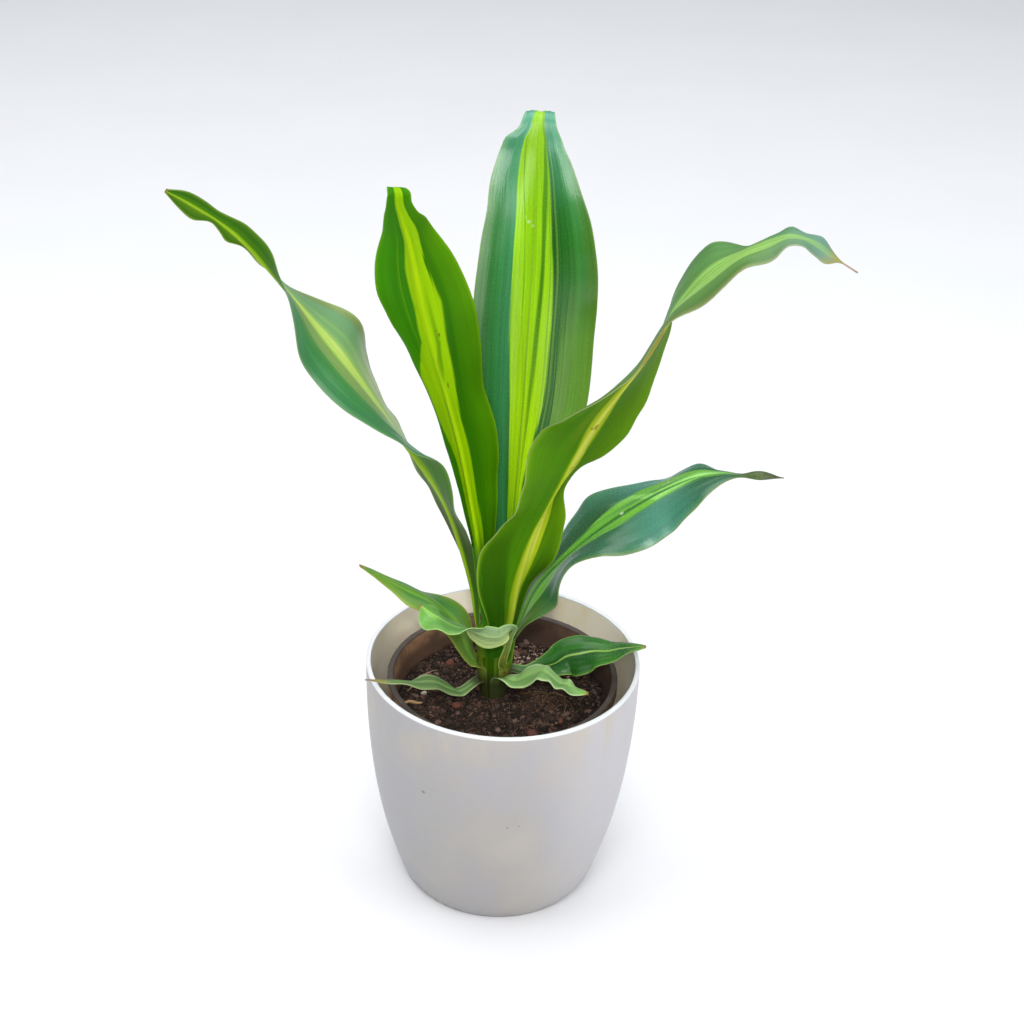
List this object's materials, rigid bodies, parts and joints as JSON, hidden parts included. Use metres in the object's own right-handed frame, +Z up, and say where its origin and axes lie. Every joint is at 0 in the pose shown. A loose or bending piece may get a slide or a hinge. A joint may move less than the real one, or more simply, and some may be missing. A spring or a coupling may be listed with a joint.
{
  "type": "potted dracaena",
  "caption": "Young dracaena with long twisting striped leaves on a short cane, in a dark nursery pot set inside a plain white tapered planter with a rounded foot.",
  "frame": {"origin": "middle of the planter's underside, on the surface that it stands on", "axes": "+Z up along the planter's axis, +X to the right and +Y away from the viewer in the usual view"},
  "size_m": [0.3427, 0.16, 0.4651],
  "materials": {
    "planter_plastic": "satin white, faintly stained and scratched",
    "nursery_plastic": "matt thin moulded plastic",
    "potting_mix": null,
    "cane": "green-brown cane with leaf scars",
    "leaf_tall": null,
    "leaf_upright": null,
    "leaf_far_left": null,
    "leaf_right_arch": null,
    "leaf_right_low": null,
    "leaf_small_left": null,
    "leaf_front_wavy": null,
    "leaf_small_low": null,
    "leaf_pale_right": null,
    "leaf_dark_right": null
  },
  "bodies": {
    "root": {"planter": "planter_plastic", "nursery_pot": "nursery_plastic", "soil": "potting_mix", "stem": "cane", "leaf_tall": "leaf_tall", "leaf_upright": "leaf_upright", "leaf_far_left": "leaf_far_left", "leaf_right_arch": "leaf_right_arch", "leaf_right_low": "leaf_right_low", "leaf_small_left": "leaf_small_left", "leaf_front_wavy": "leaf_front_wavy", "leaf_small_low": "leaf_small_low", "leaf_pale_right": "leaf_pale_right", "leaf_dark_right": "leaf_dark_right"}
  },
  "joints": []
}
